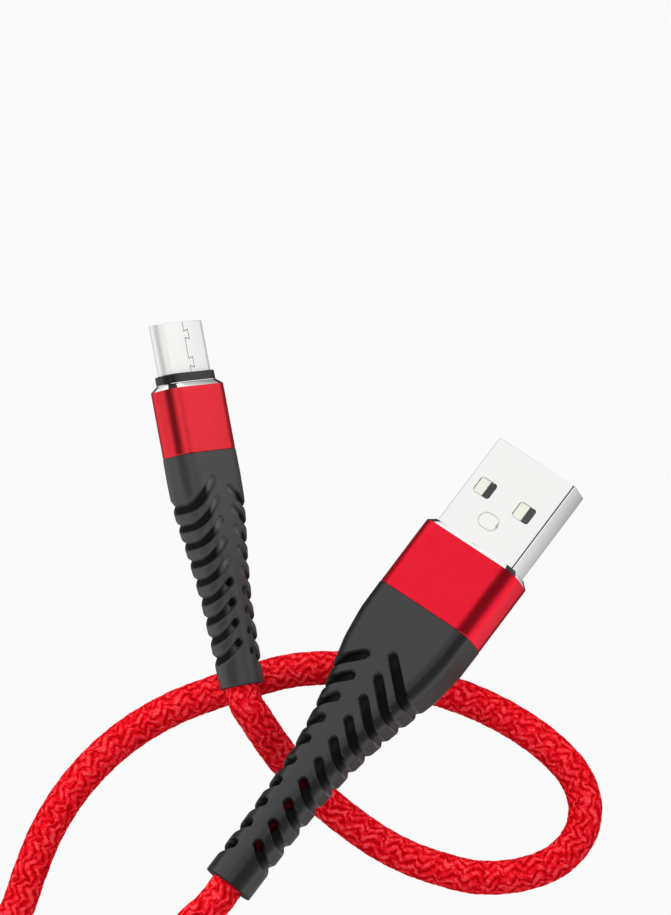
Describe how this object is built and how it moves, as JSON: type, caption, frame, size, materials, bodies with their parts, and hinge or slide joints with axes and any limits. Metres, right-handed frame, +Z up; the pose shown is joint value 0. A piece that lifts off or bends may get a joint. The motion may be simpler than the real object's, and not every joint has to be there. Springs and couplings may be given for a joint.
{
  "type": "charging cable",
  "caption": "Braided red charging cable with a USB-A plug and a USB-C plug, slotted rubber strain reliefs and its slack coiled and tied.",
  "frame": {"origin": "on the table, under the middle of the USB-A plug's box (shell, collar and strain relief)", "axes": "+Z up off the table; seen from above, +Y runs along the USB-A plug from its cord towards its tip; +X is to the plug's right"},
  "size_m": [0.0834, 0.1468, 0.0166],
  "materials": {
    "shell_steel": "plated sheet steel, satin polish",
    "cream_plastic": "cream moulded plastic",
    "contact_gold": "gold plated",
    "solder": "tin",
    "wire_red": "wire insulation",
    "wire_white": "wire insulation",
    "wire_green": "wire insulation",
    "wire_black": "wire insulation",
    "black_plastic": "black moulded plastic",
    "spring_steel": "spring steel",
    "shield_copper": "tinned copper braid",
    "jacket_white": "soft jacket",
    "red_aluminium": "red anodised, fine blasted, polished chamfer",
    "relief_rubber": "dark grey moulded rubber, satin",
    "board_green": "green solder mask",
    "tie_fabric": "hook-and-loop strap",
    "cord_nylon": "braided nylon sleeve"
  },
  "bodies": {
    "root": {"usb_a_shell": "shell_steel", "usb_a_insulator": "cream_plastic", "usb_a_contact_vbus": "contact_gold", "usb_a_contact_data_minus": "contact_gold", "usb_a_contact_data_plus": "contact_gold", "usb_a_contact_ground": "contact_gold", "usb_a_solder_joints": "solder", "usb_a_wire_red": "wire_red", "usb_a_wire_white": "wire_white", "usb_a_wire_green": "wire_green", "usb_a_wire_black": "wire_black", "usb_a_inner_mould": "black_plastic", "usb_a_crimp": "spring_steel", "usb_a_collar": "red_aluminium", "usb_a_relief": "relief_rubber", "usb_a_shield_end": "shield_copper", "usb_a_jacket_end": "jacket_white", "usb_a_braid_end": "cord_nylon", "usb_c_shell": "shell_steel", "usb_c_housing": "black_plastic", "usb_c_upper_contacts": "contact_gold", "usb_c_lower_contacts": "contact_gold", "usb_c_latch_plate": "spring_steel", "usb_c_ground_springs": "spring_steel", "usb_c_paddle_board": "board_green", "usb_c_resistor": "black_plastic", "usb_c_solder_joints": "solder", "usb_c_wires": "wire_red", "usb_c_inner_mould": "black_plastic", "usb_c_crimp": "spring_steel", "usb_c_collar": "red_aluminium", "usb_c_relief": "relief_rubber", "usb_c_shield_end": "shield_copper", "usb_c_jacket_end": "jacket_white", "usb_c_braid_end": "cord_nylon", "cord_run": "cord_nylon", "cord_coil": "cord_nylon", "cord_tail": "cord_nylon", "coil_tie": "tie_fabric"}
  },
  "joints": []
}
